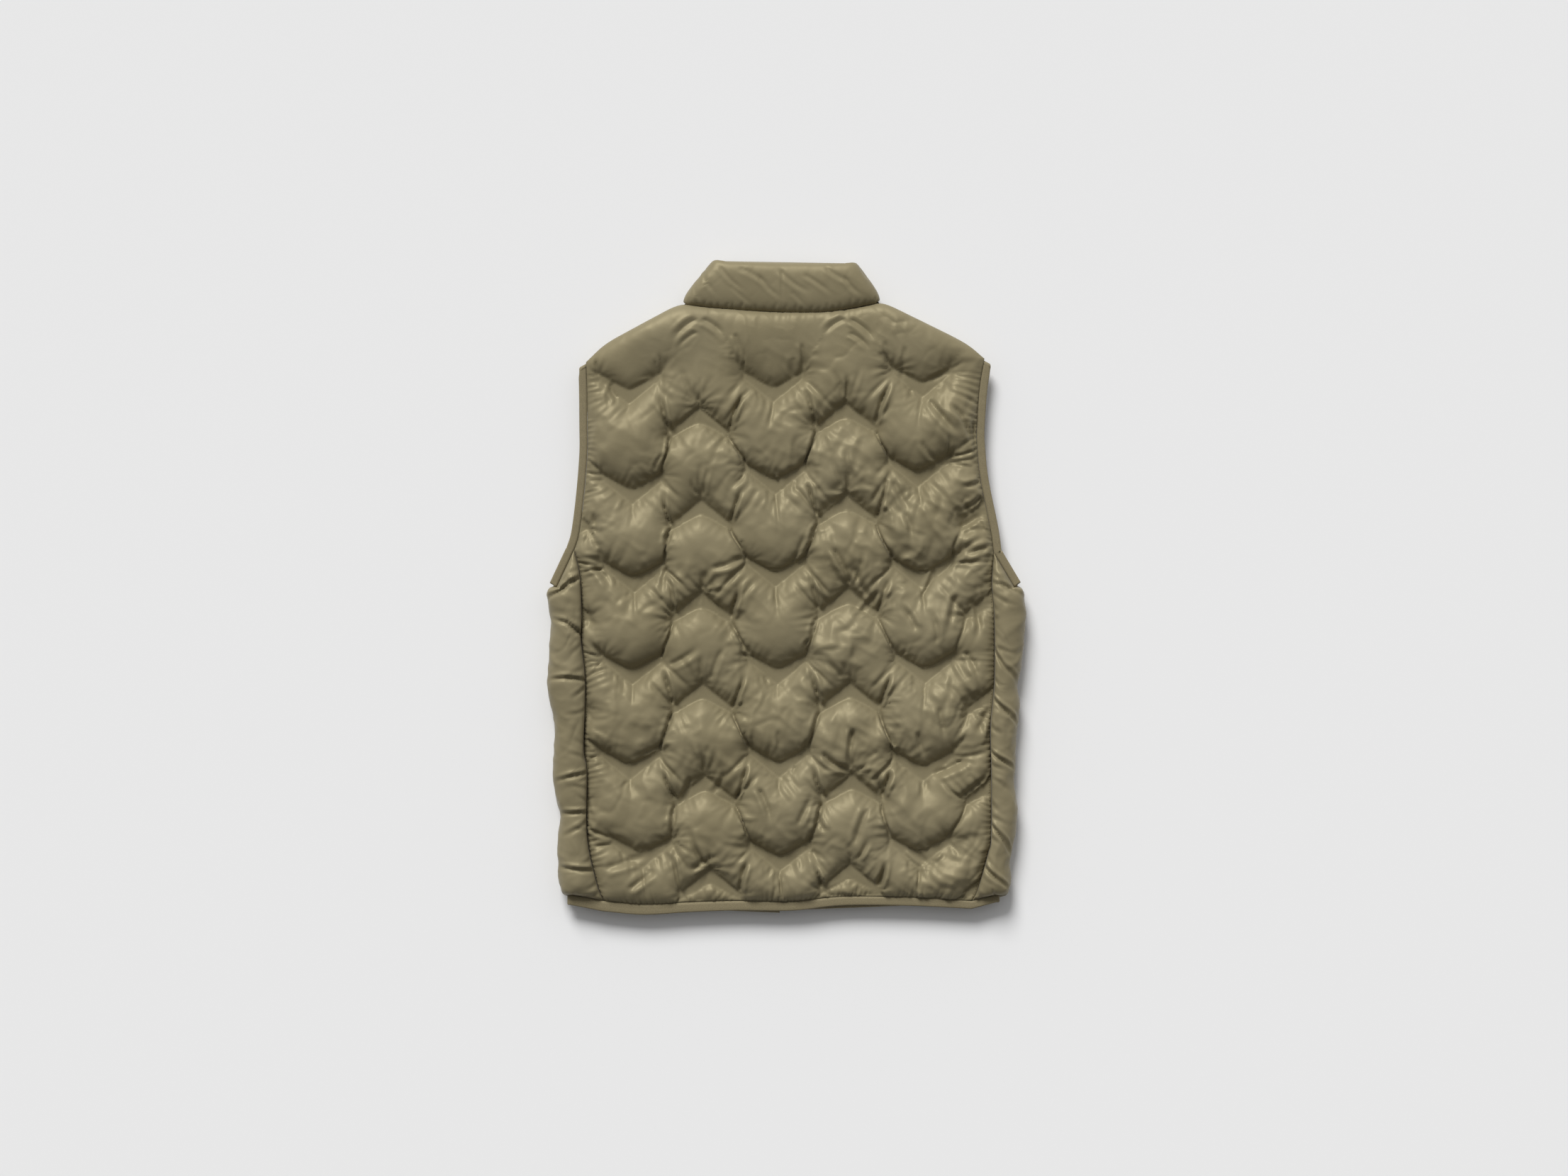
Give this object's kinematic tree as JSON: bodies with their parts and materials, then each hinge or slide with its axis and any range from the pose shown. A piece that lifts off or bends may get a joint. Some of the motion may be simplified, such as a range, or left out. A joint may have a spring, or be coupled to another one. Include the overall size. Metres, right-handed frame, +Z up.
{
  "type": "puffer vest",
  "caption": "Sleeveless padded vest with a stand collar, chevron quilting and bound edges, laid flat with its back up.",
  "frame": {"origin": "on the floor under the middle of the vest's bounding box", "axes": "+Z up from the fronts to the back, +Y from the hem to the collar, +X to the wearer's right; the vest lies on its fronts"},
  "size_m": [0.5394, 0.7435, 0.0362],
  "materials": {
    "shell_nylon": "satin olive nylon shell over light padding",
    "binding_tape": "matt elastic binding tape",
    "zip_coil": "woven zip tape with a moulded coil",
    "zip_metal": "painted die-cast metal"
  },
  "bodies": {
    "vest": {"back_panel": "shell_nylon", "front_left": "shell_nylon", "front_right": "shell_nylon", "collar": "shell_nylon", "armhole_binding_left": "binding_tape", "armhole_binding_right": "binding_tape", "hem_binding": "binding_tape", "zip_tape": "zip_coil", "zip_slider": "zip_metal"},
    "pull": {"zip_pull": "zip_metal"}
  },
  "joints": [
    {"name": "pull_swing", "type": "hinge", "parent": "vest", "child": "pull", "pos_m": [0, 0.289, 0.0086], "axis": [1, 0, 0], "range_deg": [-23, 160]}
  ]
}
